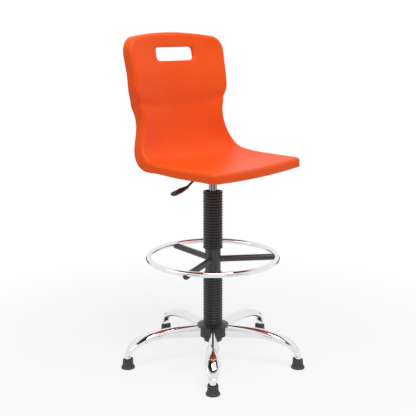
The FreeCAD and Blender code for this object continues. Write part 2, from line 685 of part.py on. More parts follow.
def shell_block(inset):
    """The shell's outer form, filled to the rim's edge, or the hollow behind it, a wall smaller
    on the sitter's side and at the edges and open behind."""
    corner = value("shell_wall") * 2
    behind = 12 if inset else 0
    sections = []
    for index, (point, along, (half, hollow, rim)) in enumerate(shell_sections()):
        if inset and index == 0:
            point = point + along * inset
        out = along.cross(Vector(1, 0, 0)) * -1
        half, rim = half - inset, rim + behind
        radius = corner - inset / 2

        def at(across, height):
            return point + Vector(across, 0, 0) + out * (hollow + height)

        side = half - radius
        edge, root = -inset, -inset - radius
        bend = radius * (1 - math.sqrt(0.5))
        over = Part.Arc(at(-side, edge), at(0, edge - hollow), at(side, edge)).toShape()
        right = Part.Arc(at(side, edge), at(half - bend, edge - bend), at(half, root)).toShape()
        down = Part.LineSegment(at(half, root), at(half, -rim)).toShape()
        under = Part.Arc(at(half, -rim), at(0, -rim - hollow), at(-half, -rim)).toShape()
        rise = Part.LineSegment(at(-half, -rim), at(-half, root)).toShape()
        left = Part.Arc(at(-half, root), at(-half + bend, edge - bend), at(-side, edge)).toShape()
        sections.append(Part.Wire([over, right, down, under, rise, left]))
    return Part.makeLoft(sections, True, False)


def back_outline(inset):
    """A prism through the shell whose outline has the back's crowned top and round corners."""
    half = value("back_half_width") + 1 - inset
    top = value("back_top") - inset
    crown = value("back_crown")
    corner = value("back_corner_radius") - inset
    floor, wide = value("waist_height"), half + 60
    shoulder = top - crown - corner
    diagonal = corner * (1 - math.sqrt(0.5))
    right = Vector(half - corner, 0, top - crown)
    left = Vector(-right.x, 0, right.z)
    edges = [
        Part.LineSegment(Vector(-wide, 0, floor), Vector(wide, 0, floor)),
        Part.LineSegment(Vector(wide, 0, floor), Vector(wide, 0, shoulder)),
        Part.LineSegment(Vector(wide, 0, shoulder), Vector(half, 0, shoulder)),
        Part.Arc(Vector(half, 0, shoulder), Vector(half - diagonal, 0, top - crown - diagonal), right),
        Part.Arc(right, Vector(0, 0, top), left),
        Part.Arc(left, Vector(diagonal - half, 0, top - crown - diagonal), Vector(-half, 0, shoulder)),
        Part.LineSegment(Vector(-half, 0, shoulder), Vector(-wide, 0, shoulder)),
        Part.LineSegment(Vector(-wide, 0, shoulder), Vector(-wide, 0, floor)),
    ]
    face = Part.Face(Part.Wire([edge.toShape() for edge in edges]))
    prism = face.extrude(Vector(0, 500, 0))
    lower = Part.makeBox(2 * wide, 900, floor, Vector(-wide, -450, 0))
    return prism.fuse(lower)


def front_outline(inset):
    """A prism through the shell whose outline has the seat's straight front edge and round
    front corners."""
    front, half = value("shell_front") + inset, value("seat_half_width") - inset
    radius, wide = value("front_corner_radius") - inset, half + 60
    bend = radius * (1 - math.sqrt(0.5))
    knee = front + radius
    edges = [
        Part.LineSegment(Vector(half - radius, front, 0), Vector(radius - half, front, 0)),
        Part.Arc(Vector(radius - half, front, 0), Vector(bend - half, front + bend, 0),
                 Vector(-half, knee, 0)),
        Part.LineSegment(Vector(-half, knee, 0), Vector(-wide, knee, 0)),
        Part.LineSegment(Vector(-wide, knee, 0), Vector(-wide, -front, 0)),
        Part.LineSegment(Vector(-wide, -front, 0), Vector(-wide, wide, 0)),
        Part.LineSegment(Vector(-wide, wide, 0), Vector(wide, wide, 0)),
        Part.LineSegment(Vector(wide, wide, 0), Vector(wide, knee, 0)),
        Part.LineSegment(Vector(wide, knee, 0), Vector(half, knee, 0)),
        Part.Arc(Vector(half, knee, 0), Vector(half - bend, front + bend, 0),
                 Vector(half - radius, front, 0)),
    ]
    face = Part.Face(Part.Wire([edge.toShape() for edge in edges]))
    return face.extrude(Vector(0, 0, value("back_top") + 100))


def slot_prism(growth):
    """The hand slot's outline, grown all round, as a prism from front to back."""
    half, tall = value("slot_width / 2") + growth, value("slot_opening") + 2 * growth
    low = value("slot_height - slot_opening / 2") - growth
    block = Part.makeBox(2 * half, 200, tall, Vector(-half, value("back_lean") - 100, low))
    radius = value("slot_corner") + growth
    edges = [edge for edge in block.Edges if abs(edge.tangentAt(edge.FirstParameter).y) > 0.9]
    return block.makeFillet(radius, edges)


def seat_shell():
    """One-piece shell: a thin sheet with its edges turned back all round, a hand slot with a
    collar, and bosses for the seat bolts."""
    wall = value("shell_wall")
    form = shell_block(0).common(back_outline(0)).common(front_outline(0))
    hollow = shell_block(wall).common(back_outline(wall)).common(front_outline(wall))
    shell = form.cut(hollow)
    depth = value("back_lean + slot_collar")
    behind = Part.makeBox(600, 400, 1500, Vector(-300, depth, 0))
    collar = slot_prism(wall).common(form).cut(behind)
    shell = shell.fuse(collar).cut(slot_prism(0))
    insert = value("insert_diameter / 2")
    for place in bolt_places(value("plate_top")):
        boss = Part.makeCylinder(value("boss_diameter / 2"), 40, place).common(form)
        bore = Part.makeCylinder(insert, value("insert_length"), place)
        shell = shell.fuse(boss).cut(bore)
    shaped("seat_shell", shell)


# ---------------------------------------------------------------- build

def build():
    base_hub()
    legs()
    glides()
    hub_cover()
    column_tube()
    guide_bush()
    thrust_bearing()
    spindle()
    gas_cylinder()
    both_bellows()
    ring_hub()
    ring_set_screw()
    foot_ring()
    spokes()
    seat_plate()
    taper_socket()
    lever_bracket()
    lever_rod()
    lever_handle()
    seat_fasteners()
    seat_shell()
    doc.recompute()


def check_and_export():
    for item in doc.Objects:
        if "Invalid" in item.State or "Error" in item.State:
            raise RuntimeError(f"{item.Label} failed: {item.State}")
    for piece in nodes:
        if piece.Shape.isNull() or not piece.Shape.isValid():
            raise RuntimeError(f"{piece.Label} has no valid shape")
    os.makedirs("parts", exist_ok=True)
    for piece in nodes:
        piece.Shape.exportStep(os.path.join("parts", piece.Label + ".step"))
        box = piece.Shape.BoundBox
        print(f"{piece.Label:20s} solids {len(piece.Shape.Solids)} volume {piece.Shape.Volume:12.1f} "
              f"z {box.ZMin:7.1f} {box.ZMax:7.1f} x {box.XMin:7.1f} {box.XMax:7.1f} "
              f"y {box.YMin:7.1f} {box.YMax:7.1f}")


build()
check_and_export()
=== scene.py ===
"""Drafting chair: the finish of every piece, the moulded shell and the ribbed gaiters.

Laid out as an add-on and run as a script. Metres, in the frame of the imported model: the floor is
z = 0, the column's axis is x = y = 0, and the sitter faces -Y.
"""

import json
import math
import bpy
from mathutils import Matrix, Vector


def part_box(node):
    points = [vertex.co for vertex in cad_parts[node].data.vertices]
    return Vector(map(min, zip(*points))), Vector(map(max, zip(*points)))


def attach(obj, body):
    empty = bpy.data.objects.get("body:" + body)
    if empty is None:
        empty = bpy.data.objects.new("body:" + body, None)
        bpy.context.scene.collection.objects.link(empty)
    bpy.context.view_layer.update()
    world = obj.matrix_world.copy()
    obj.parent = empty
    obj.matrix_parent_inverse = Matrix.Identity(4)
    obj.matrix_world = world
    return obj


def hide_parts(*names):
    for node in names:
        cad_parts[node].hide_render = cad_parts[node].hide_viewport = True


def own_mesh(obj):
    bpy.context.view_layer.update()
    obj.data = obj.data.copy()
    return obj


bl_info = {
    "name": "Drafting chair",
    "version": (1, 0, 0),
    "blender": (4, 5, 0),
    "location": "3D View > Sidebar > Chair",
    "description": "Builds the visible shell, gaiters, glides and finishes of a drafting chair",
    "category": "Object",
}

import bpy
import numpy as np
from bpy.props import FloatProperty, FloatVectorProperty, IntProperty, PointerProperty
from mathutils import Vector

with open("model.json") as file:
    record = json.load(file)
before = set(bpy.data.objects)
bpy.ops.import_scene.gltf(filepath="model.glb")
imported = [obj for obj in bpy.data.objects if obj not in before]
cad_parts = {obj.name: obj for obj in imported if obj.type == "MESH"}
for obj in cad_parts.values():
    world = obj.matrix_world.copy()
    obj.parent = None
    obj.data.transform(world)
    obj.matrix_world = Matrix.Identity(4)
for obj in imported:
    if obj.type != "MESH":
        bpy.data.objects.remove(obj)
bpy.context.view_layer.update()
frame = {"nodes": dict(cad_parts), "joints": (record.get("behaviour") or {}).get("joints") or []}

MM = 0.001
SHELL_LOW, SHELL_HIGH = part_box("seat_shell")
PLATE_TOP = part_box("seat_plate")[1].z
COLUMN_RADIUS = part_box("column_tube")[1].x
LEGS = range(1, 6)


# ---------------------------------------------------------------- sizes and colours

def colour(title, text, value):
    return FloatVectorProperty(name=title, description=text, subtype="COLOR", size=3,
                               min=0, max=1, default=value)


def length(title, text, value):
    return FloatProperty(name=title, description=text, unit="LENGTH", default=value)


class ChairColours(bpy.types.PropertyGroup):
    shell: colour("Shell", "Orange of the moulded shell", (0.93, 0.088, 0.006))
    shell_worn: colour("Rubbed shell", "Shell where hands have rubbed its edges", (0.96, 0.14, 0.014))
    chrome: colour("Chrome", "Reflection colour of the plated steel", (0.84, 0.84, 0.86))
    black_plastic: colour("Black plastic", "Hub cover and small mouldings", (0.030, 0.030, 0.034))
    grip: colour("Lever grip", "Brown-black of the lever's grip", (0.022, 0.017, 0.016))
    rubber: colour("Glide rubber", "Dark grey of the glides", (0.045, 0.042, 0.046))
    gaiter: colour("Gaiter rubber", "Dark grey of the ribbed gaiters", (0.030, 0.030, 0.034))
    dust: colour("Dust", "Dust in grooves and near the floor", (0.16, 0.145, 0.13))
    paint: colour("Powder coat", "Black paint of spokes, hub and lever", (0.050, 0.048, 0.052))
    cylinder: colour("Gas cylinder", "Plated steel of the gas cylinder", (0.30, 0.30, 0.32))
    zinc: colour("Zinc", "Plating of the small fasteners", (0.60, 0.61, 0.64))
    brass: colour("Brass", "Threaded inserts", (0.72, 0.52, 0.24))
    floor: colour("Floor", "Pale floor", (0.90, 0.90, 0.90))


class ChairShell(bpy.types.PropertyGroup):
    wall: length("Wall", "Thickness of the shell", 4 * MM)
    roll: length("Edge roll", "Radius of the rolled edge", 12 * MM)
    front_corner: length("Front corner", "Corner radius at the seat's front", 16 * MM)
    top_corner: length("Top corner", "Corner radius at the back's top", 56 * MM)
    crown: length("Crown", "Rise of the top edge at its middle", 13 * MM)
    slot_width: length("Slot width", "Width of the hand slot", 189 * MM)
    slot_height: length("Slot height", "Height of the hand slot", 46 * MM)
    slot_corner: length("Slot corner", "Corner radius of the hand slot", 14 * MM)
    slot_roll: length("Slot roll", "Radius of the slot's rounded edge", 5 * MM)
    slot_collar: length("Slot collar", "Depth of the collar behind the slot", 14 * MM)
    fold: length("Fold", "Depth of the fold across the waist", 3.6 * MM)
    across: IntProperty(name="Columns", description="Cells across the shell", default=76, min=8)
    along: IntProperty(name="Rows", description="Cells from front to top", default=150, min=8)


class ChairGaiters(bpy.types.PropertyGroup):
    rib_pitch: length("Rib pitch", "Distance between ribs", 9.9 * MM)
    groove: length("Groove", "Depth of the grooves", 4.6 * MM)
    collar: length("Collar", "Height of the plain end collars", 2.2 * MM)


class ChairStage(bpy.types.PropertyGroup):
    azimuth: FloatProperty(name="Azimuth", description="Heading of the view, clockwise from +Y",
                           subtype="ANGLE", default=math.radians(50.2))
    pitch: FloatProperty(name="Pitch", description="How far the camera looks down",
                         subtype="ANGLE", default=math.radians(12.2))
    distance: length("Distance", "From the column to the camera, over the floor", 2.7123)
    height: length("Height", "Camera above the floor", 1.1317)
    lens: FloatProperty(name="Lens", description="Focal length in millimetres", default=69.8)
    shift: FloatProperty(name="Shift", description="Sideways shift of the picture", default=-0.0118)
    key: FloatProperty(name="Key lamp", description="Power of the large lamp", default=48, unit="POWER")
    fill: FloatProperty(name="Fill lamp", description="Power of the fill lamp", default=9, unit="POWER")
    room: FloatProperty(name="Room", description="Brightness of the room's light", default=0.46)


def settings():
    return bpy.context.scene.drafting_chair


class ChairSettings(bpy.types.PropertyGroup):
    colours: PointerProperty(type=ChairColours)
    shell: PointerProperty(type=ChairShell)
    gaiters: PointerProperty(type=ChairGaiters)
    stage: PointerProperty(type=ChairStage)


# ---------------------------------------------------------------- shader values

class Value:
    """A socket of a material's nodes that takes part in sums."""

    def __init__(self, nodes, socket):
        self.nodes = nodes
        self.socket = socket

    def maths(self, operation, first, second=0.0):
        return self.nodes.node("ShaderNodeMath", {"operation": operation}, {0: first, 1: second})

    def __add__(self, other):
        return self.maths("ADD", self, other)

    __radd__ = __add__

    def __sub__(self, other):
        return self.maths("SUBTRACT", self, other)

    def __rsub__(self, other):
        return self.maths("SUBTRACT", other, self)

    def __mul__(self, other):
        return self.maths("MULTIPLY", self, other)

    __rmul__ = __mul__

    def __truediv__(self, other):
        return self.maths("DIVIDE", self, other)

    def __pow__(self, other):
        return self.maths("POWER", self, other)

    def between(self, low, high):
        """0 below low, 1 above high and smooth between them."""
        return self.nodes.node(
            "ShaderNodeMapRange", {"interpolation_type": "SMOOTHSTEP", "clamp": True},
            {"Value": self, "From Min": low, "From Max": high})


class Nodes:
    """The nodes of one material or world."""

    def __init__(self, owner):
        owner.use_nodes = True
        self.tree = owner.node_tree
        self.tree.nodes.clear()

    def node(self, kind, choices=None, inputs=None, output=0):
        made = self.tree.nodes.new(kind)
        for name, choice in (choices or {}).items():
            if name == "stops":
                self.set_stops(made.color_ramp, choice)
            else:
                setattr(made, name, choice)
        for name, given in (inputs or {}).items():
            socket = made.inputs[name]
            if isinstance(given, Value):
                self.tree.links.new(given.socket, socket)
            elif hasattr(given, "__len__") and len(given) == 3 and socket.type == "RGBA":
                socket.default_value = (*given, 1)
            else:
                socket.default_value = given
        return Value(self, made.outputs[output]) if made.outputs else None

    @staticmethod
    def set_stops(ramp, stops):
        while len(ramp.elements) < len(stops):
            ramp.elements.new(1)
        for element, (place, shade) in zip(ramp.elements, stops):
            element.position = place
            element.color = (shade, shade, shade, 1) if isinstance(shade, float) else (*shade, 1)

    def place(self):
        """Where on the piece, in metres in the chair's frame."""
        return self.node("ShaderNodeTexCoord", output="Object")

    def split(self, vector):
        parts = self.node("ShaderNodeSeparateXYZ", None, {0: vector})
        outputs = parts.socket.node.outputs
        return [Value(self, outputs[index]) for index in range(3)]

    def stretched(self, scale):
        return self.node("ShaderNodeVectorMath", {"operation": "MULTIPLY"},
                         {0: self.place(), 1: scale})

    def noise(self, scale, detail=2.0, vector=None, roughness=0.5):
        return self.node("ShaderNodeTexNoise", None,
                         {"Vector": vector or self.place(), "Scale": scale, "Detail": detail,
                          "Roughness": roughness})

    def cells(self, scale, vector=None):
        return self.node("ShaderNodeTexVoronoi", None,
                         {"Vector": vector or self.place(), "Scale": scale}, "Distance")

    def mix(self, share, first, second):
        made = self.node("ShaderNodeMix", {"data_type": "RGBA"},
                         {"Factor": share}, 2)
        node = made.socket.node
        for index, given in ((6, first), (7, second)):
            if isinstance(given, Value):
                self.tree.links.new(given.socket, node.inputs[index])
            else:
                node.inputs[index].default_value = (*given, 1)
        return made

    def bump(self, height, distance, strength=1.0):
        return self.node("ShaderNodeBump", None,
                         {"Height": height, "Distance": distance, "Strength": strength})

    def surface(self, **inputs):
        """The plain surface shader, with its sockets named in words, joined to the output."""
        named = {name.replace("_", " ").title().replace("Ior", "IOR"): given
                 for name, given in inputs.items()}
        shader = self.node("ShaderNodeBsdfPrincipled", None, named)
        self.node("ShaderNodeOutputMaterial", None, {"Surface": shader})


def material(name, paint):
    made = bpy.data.materials.new(name)
    paint(Nodes(made), settings().colours)
    return made


# ---------------------------------------------------------------- finishes

def moulded_orange(nodes, colours):
    """Fine-grained polypropylene: cloudy colour, a matt spark grain and rubbed patches."""
    cloud = nodes.noise(5, 3).between(0.35, 0.7)
    rubbed = nodes.noise(38, 4, roughness=0.65).between(0.52, 0.75)
    grain = nodes.cells(1500) * 0.7 + nodes.noise(700, 2) * 0.3
    shade = nodes.mix(cloud * 0.35 + rubbed * 0.15, colours.shell, colours.shell_worn)
    nodes.surface(base_color=shade, roughness=0.40 + rubbed * 0.06 + cloud * 0.05,
                  normal=nodes.bump(grain, 0.00008, 0.55), specular_ior_level=0.2)


def polished_chrome(nodes, colours):
    """Bright plate with faint haze, fine wipe marks and a slight waviness under it."""
    haze = nodes.noise(14, 4, roughness=0.6).between(0.45, 0.75)
    wipes = nodes.noise(160, 3, nodes.stretched((1, 1, 9)))
    wave = nodes.noise(22, 1)
    shade = nodes.mix(haze * 0.25, colours.chrome, (0.66, 0.66, 0.68))
    nodes.surface(base_color=shade, metallic=1.0, roughness=0.045 + haze * 0.05 + wipes * 0.03,
                  normal=nodes.bump(wave * 0.8 + wipes * 0.02, 0.0006, 0.5))


def satin_plastic(nodes, colours, base=None):
    """Moulded black plastic with a leather-fine grain and a few dull scuffs."""
    scuff = nodes.noise(45, 5, roughness=0.7).between(0.58, 0.78)
    grain = nodes.cells(1100) + nodes.noise(420, 2) * 0.5
    shade = nodes.mix(scuff * 0.25, base or colours.black_plastic, colours.dust)
    nodes.surface(base_color=shade, roughness=0.36 + scuff * 0.16,
                  normal=nodes.bump(grain, 0.00010, 0.6))


def grip_plastic(nodes, colours):
    satin_plastic(nodes, colours, colours.grip)


def glide_rubber(nodes, colours):
    """Matt rubber, dusty just above the floor."""
    height = nodes.split(nodes.place())[2]
    speck = nodes.noise(260, 4, roughness=0.7)
    dusty = (1 - height.between(0.001, 0.014)) * speck.between(0.40, 0.62)
    shade = nodes.mix(dusty * 0.55, colours.rubber, colours.dust)
    nodes.surface(base_color=shade, roughness=0.50 + dusty * 0.3 + speck * 0.08,
                  normal=nodes.bump(nodes.noise(900, 3), 0.00012, 0.6))


def gaiter_rubber(nodes, colours):
    """Ribbed rubber: satin on the ribs, dull and a little dusty in the grooves."""
    x, y, _ = nodes.split(nodes.place())
    radius = (x * x + y * y) ** 0.5
    groove = 1 - radius.between(COLUMN_RADIUS + 4.6 * MM, COLUMN_RADIUS + 8.2 * MM)
    speck = nodes.noise(320, 4, roughness=0.7).between(0.45, 0.65)
    shade = nodes.mix(groove * (0.12 + speck * 0.22), colours.gaiter, colours.dust)
    nodes.surface(base_color=shade, roughness=0.34 + groove * 0.25 + speck * 0.06,
                  normal=nodes.bump(nodes.noise(800, 2), 0.00008, 0.5))


def powder_coat(nodes, colours):
    """Black powder coat: orange-peel waves and tiny pits."""
    peel = nodes.noise(620, 2)
    worn = nodes.noise(60, 4, roughness=0.7).between(0.60, 0.80)
    shade = nodes.mix(worn * 0.2, colours.paint, (0.10, 0.098, 0.10))
    nodes.surface(base_color=shade, roughness=0.33 + worn * 0.15 + peel * 0.05,
                  normal=nodes.bump(peel + nodes.cells(1900) * 0.2, 0.00014, 0.6))


def ground_steel(nodes, colours):
    """Plated cylinder with fine rings from grinding."""
    rings = nodes.noise(90, 3, nodes.stretched((0.4, 0.4, 40)))
    cloud = nodes.noise(30, 3).between(0.4, 0.7)
    shade = nodes.mix(cloud * 0.3, colours.cylinder, (0.42, 0.42, 0.44))
    nodes.surface(base_color=shade, metallic=1.0, roughness=0.20 + rings * 0.10,
                  normal=nodes.bump(rings, 0.00004, 0.5))


def zinc_plate(nodes, colours):
    """Zinc with the cloudy spangle of small plated fasteners."""
    spangle = nodes.cells(420).between(0.1, 0.7)
    cloud = nodes.noise(120, 4)
    shade = nodes.mix(spangle * 0.35 + cloud * 0.2, colours.zinc, (0.42, 0.43, 0.47))
    nodes.surface(base_color=shade, metallic=1.0, roughness=0.28 + cloud * 0.18,
                  normal=nodes.bump(cloud, 0.00005, 0.5))


def turned_brass(nodes, colours):
    """Brass with turning marks."""
    marks = nodes.noise(200, 3, nodes.stretched((0.5, 0.5, 20)))
    shade = nodes.mix(marks * 0.4, colours.brass, (0.55, 0.38, 0.16))
    nodes.surface(base_color=shade, metallic=1.0, roughness=0.25 + marks * 0.15,
                  normal=nodes.bump(marks, 0.00005, 0.5))


def stage_white(nodes, colours):
    """The floor: white where it is seen, with the chair's soft shadow kept. For reflected rays only,
    its glow is darkened in two bands at its far sides: a painted dark reflection that stands in for
    curtains and draws dark streaks on the chrome."""
    seen = seen_rays(nodes)
    x, y, _ = nodes.split(nodes.place())
    reach = (x * x + y * y) ** 0.5
    far = reach.between(0.5, 1.6)
    matt = nodes.node("ShaderNodeBsdfDiffuse", None, {"Color": colours.floor})
    turn = settings().stage.azimuth
    across = (x * math.cos(turn) - y * math.sin(turn)) / reach
    wide = (across * across) ** 0.5
    # Painted reflection: two dark bands in the floor's glow that only reflected rays see, drawing dark
    # streaks on the chrome.
    painted_reflection_band = (wide.between(0.30, 0.42) - wide.between(0.72, 0.86)) * reach.between(0.7, 1.4)
    glow = nodes.node("ShaderNodeEmission", None,
                      {"Color": (1, 1, 1), "Strength": 1 - painted_reflection_band * glossy_rays(nodes) * 0.93})
    both = nodes.node("ShaderNodeMixShader", None, {0: seen * (0.80 + far * 0.20), 1: matt, 2: glow})
    nodes.node("ShaderNodeOutputMaterial", None, {"Surface": both})


def glossy_rays(nodes):
    """1 for rays that reflect, else 0."""
    path = nodes.node("ShaderNodeLightPath")
    return Value(nodes, path.socket.node.outputs["Is Glossy Ray"])


def seen_rays(nodes):
    """1 for rays from the camera and for rays that reflect or pass through, else 0."""
    path = nodes.node("ShaderNodeLightPath")
    outputs = path.socket.node.outputs
    camera, glossy, through = (Value(nodes, outputs[name]) for name in
                               ("Is Camera Ray", "Is Glossy Ray", "Is Transmission Ray"))
    return camera.maths("MAXIMUM", camera.maths("MAXIMUM", camera, glossy), through)


# ---------------------------------------------------------------- meshes

def mesh_piece(name, points, faces, finish, body, stands_for=(), smooth=True):
    mesh = bpy.data.meshes.new(name)
    mesh.from_pydata([tuple(point) for point in points], [], faces)
    mesh.validate()
    mesh.update()
    for polygon in mesh.polygons:
        polygon.use_smooth = smooth
    piece = bpy.data.objects.new(name, mesh)
    bpy.context.scene.collection.objects.link(piece)
    piece.data.materials.append(finish)
    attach(piece, body)
    if stands_for:
        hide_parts(*stands_for)
    return piece


def lathe(profile, steps=64, centre=(0.0, 0.0), lift=None):
    """Points and faces of a closed (radius, height) profile turned about a vertical axis.
    lift, if given, raises each point by a function of its angle and place."""
    points, faces = [], []
    count = len(profile)
    for step in range(steps):
        angle = 2 * math.pi * step / steps
        for radius, height in profile:
            rise = lift(angle, height) if lift else 0
            points.append((centre[0] + radius * math.cos(angle),
                           centre[1] + radius * math.sin(angle), height + rise))
    for step in range(steps):
        here, there = step * count, (step + 1) % steps * count
        for index in range(count):
            after = (index + 1) % count
            faces.append((here + index, there + index, there + after, here + after))
    return points, faces


def finish_nodes(names, finish):
    """Gives carried-over pieces their finish."""
    for name in names:
        piece = frame["nodes"][name]
        piece.data.materials.clear()
        piece.data.materials.append(finish)


def eased(profile, radius, steps=3):
    """A profile with each corner that has a radius rounded by a short curve."""
    out = []
    count = len(profile)
    for index, (corner, bend) in enumerate(zip(profile, radius)):
        if not bend:
            out.append(corner)
            continue
        here = Vector(corner)
        arms = []
        for other in (profile[index - 1], profile[(index + 1) % count]):
            arm = Vector(other) - here
            arms.append(here + arm.normalized() * min(bend, arm.length * 0.45))
        for step in range(steps + 1):
            share = step / steps
            point = arms[0] * (1 - share) ** 2 + here * 2 * share * (1 - share)
            out.append(tuple(point + arms[1] * share ** 2))
    return out


# ---------------------------------------------------------------- shell

def smooth_run(knots, values):
    """A smooth curve through values at knots, as a function of the place."""
    knots, values = np.array(knots, float), np.array(values, float)
    gaps = np.diff(knots)
    count = len(knots)
    system, right = np.eye(count), np.zeros_like(values)
    for index in range(1, count - 1):
        before, after = gaps[index - 1], gaps[index]
        system[index, index - 1:index + 2] = before, 2 * (before + after), after
        right[index] = 6 * ((values[index + 1] - values[index]) / after
                            - (values[index] - values[index - 1]) / before)
    bends = np.linalg.solve(system, right)

    def at(place):
        place = np.asarray(place, float)
        index = np.clip(np.searchsorted(knots, place) - 1, 0, count - 2)
        gap = gaps[index][..., None]
        first = ((knots[index + 1] - place) / gaps[index])[..., None]
        second = 1 - first
        return (first * values[index] + second * values[index + 1]
                + ((first ** 3 - first) * bends[index]
                   + (second ** 3 - second) * bends[index + 1]) * gap ** 2 / 6)

    return at


def soft_step(values, low, high):
    share = np.clip((values - low) / (high - low), 0, 1)
    return share * share * (3 - 2 * share)


class ShellForm:
    """The sitter's side of the shell as a surface: across (x) and along its middle (u)."""

    SEAT = PLATE_TOP + 12 * MM
    WAIST = SEAT + 162 * MM
    SLOT = SHELL_HIGH.z - 72 * MM
    FOLD_RISE = 26 * MM
    FOLD_WIDTH = 13 * MM
    SWELL_WIDTH = 20 * MM
    SWELL_OFFSET = 30 * MM
    DISH_DEPTH = 1.4 * MM
    DISH_START = 4 * MM
    DISH_END = 26 * MM

    def __init__(self, sizes):
        self.sizes = sizes
        front, seat, waist, top = SHELL_LOW.y, self.SEAT, self.WAIST, SHELL_HIGH.z
        # Place (y, z), and in millimetres the half width, the hollow and the rim's depth.
        stations = [
            (front, seat + 8 * MM, 236, 6, 32), (front * 0.62, seat + 5 * MM, 237, 11, 31),
            (front * 0.20, seat, 239, 18, 31), (45 * MM, seat + 2 * MM, 242, 23, 32),
            (92 * MM, seat + 14 * MM, 244, 25, 40), (121 * MM, seat + 45 * MM, 237, 25, 40),
            (138 * MM, seat + 96 * MM, 218, 25, 36), (147 * MM, waist, 209, 25, 36),
            (150 * MM, waist + 34 * MM, 218, 24, 36), (150 * MM, waist + 78 * MM, 233, 25, 36),
            (156 * MM, waist + 140 * MM, 235, 26, 36), (168.7 * MM, self.SLOT, 237, 27, 36),
            (174.7 * MM, top - 26 * MM, 234, 27, 36), (175.7 * MM, top + 14 * MM, 230, 27, 36),
        ]
        middle = np.array([(y, z) for y, z, *_ in stations])
        reach = np.concatenate([[0], np.cumsum(np.linalg.norm(np.diff(middle, axis=0), axis=1))])
        self.middle = smooth_run(reach, middle)
        self.traits = smooth_run(reach, np.array([row[2:] for row in stations]) * MM)
        self.end = reach[-1]

    def along_to(self, height):
        """The place along the middle of the back where it is at a height."""
        places = np.linspace(self.end * 0.4, self.end, 800)
        heights = self.middle(places)[:, 1]
        return np.interp(height, heights, places)

    def facing(self, along):
        """Unit vectors towards the sitter, square to the middle."""
        step = 0.5 * MM
        run = self.middle(along + step) - self.middle(along - step)
        run /= np.linalg.norm(run, axis=-1, keepdims=True)
        out = np.zeros((*np.shape(along), 3))
        out[..., 1], out[..., 2] = -run[..., 1], run[..., 0]
        return out

    def half_width(self, along):
        return self.traits(along)[..., 0]

    def rim(self, along):
        return self.traits(along)[..., 2]

    def relief(self, across, along):
        """Shallow forms of the moulding: the fold over the waist, and the dish round the slot."""
        half = self.half_width(along)
        share = np.clip(np.abs(across) / half, 0, 1)
        fold_at = self.along_to(self.WAIST + self.FOLD_RISE) + self.FOLD_RISE * share ** 2.5
        depth = self.sizes.fold * (0.22 + 0.78 * share ** 5)
        fold = -depth * np.exp(-((along - fold_at) / self.FOLD_WIDTH) ** 2)
        above_fold = along - fold_at - self.SWELL_OFFSET
        swell = depth * 0.5 * np.exp(-(above_fold / self.SWELL_WIDTH) ** 2)
        away = self.slot_distance(across, along)
        dish = -self.DISH_DEPTH * (1 - soft_step(away, self.DISH_START, self.DISH_END))
        return fold + swell + dish

    def slot_distance(self, across, along):
        """How far a place is outside the slot's outline. Inside it, the value is negative."""
        corner = self.sizes.slot_corner
        half_x = self.sizes.slot_width / 2 - corner
        half_y = self.sizes.slot_height / 2 - corner
        over_x = np.abs(across) - half_x
        over_y = np.abs(along - self.along_to(self.SLOT)) - half_y
        outside = np.hypot(np.maximum(over_x, 0), np.maximum(over_y, 0))
        return outside + np.minimum(np.maximum(over_x, over_y), 0) - corner

    def points(self, across, along):
        across, along = np.asarray(across, float), np.asarray(along, float)
        middle = self.middle(along)
        side = self.half_width(along) - self.sizes.roll
        hollow = self.traits(along)[..., 1]
        height = hollow * (across / side) ** 2 + self.relief(across, along)
        out = self.facing(along)
        base = np.stack([across, middle[..., 0], middle[..., 1]], axis=-1)
        return base + out * height[..., None]

    def normals(self, across, along):
        step = 0.4 * MM
        over = self.points(across + step, along) - self.points(across - step, along)
        up = self.points(across, along + step) - self.points(across, along - step)
        normal = np.cross(over, up)
        return normal / np.linalg.norm(normal, axis=-1, keepdims=True)


def evenly(points, count):
    """count + 1 points evenly spaced along a line of points."""
    points = np.array(points, float)
    reach = np.concatenate([[0], np.cumsum(np.linalg.norm(np.diff(points, axis=0), axis=1))])
    wanted = np.linspace(0, reach[-1], count + 1)
    return np.stack([np.interp(wanted, reach, points[:, axis]) for axis in range(2)], axis=-1)


def quarter(centre, radius, first, last, steps=16):
    """An arc from one angle to another, in degrees."""
    angles = np.radians(np.linspace(first, last, steps + 1))
    return np.stack([centre[0] + radius * np.cos(angles), centre[1] + radius * np.sin(angles)], -1)


def shell_outline(form, sizes):
    """The right side and the two ends of the flat sheet before its edge rolls over, split at the
    middles of its corners: front from left to right, side upwards, top from left to right."""
    roll = sizes.roll
    front_radius = max(sizes.front_corner - roll, 5 * MM)
    top_radius = sizes.top_corner - roll
    start = roll
    narrow = float(form.half_width(start)) - roll * 1.1
    front_centre = (narrow - front_radius, start + front_radius)
    top = float(form.along_to(SHELL_HIGH.z)) - roll
    wide = float(form.half_width(top - sizes.crown - top_radius)) - roll * 1.2
    top_centre = (wide - top_radius, top - sizes.crown - top_radius)
    lean = np.array([(x, top - sizes.crown * (x / top_centre[0]) ** 2)
                     for x in np.linspace(0, top_centre[0], 24)])
    rise = np.linspace(front_centre[1], top_centre[1], 160)
    sides = np.stack([form.half_width(rise) - roll * 1.2, rise], axis=-1)
    sides[:, 0] += (narrow - sides[0, 0]) * (1 - soft_step(rise, rise[0], rise[0] + 60 * MM))
    right = np.concatenate([quarter(front_centre, front_radius, -45, 0), sides[1:-1],
                            quarter(top_centre, top_radius, 0, 45)])
    half_front = np.concatenate([[(0, start)], quarter(front_centre, front_radius, -90, -45)])
    half_top = np.concatenate([lean[:-1], quarter(top_centre, top_radius, 90, 45)])
    mirror = np.array([-1, 1])
    front = np.concatenate([half_front[:0:-1] * mirror, half_front])
    above = np.concatenate([half_top[:0:-1] * mirror, half_top])
    return front, right, above


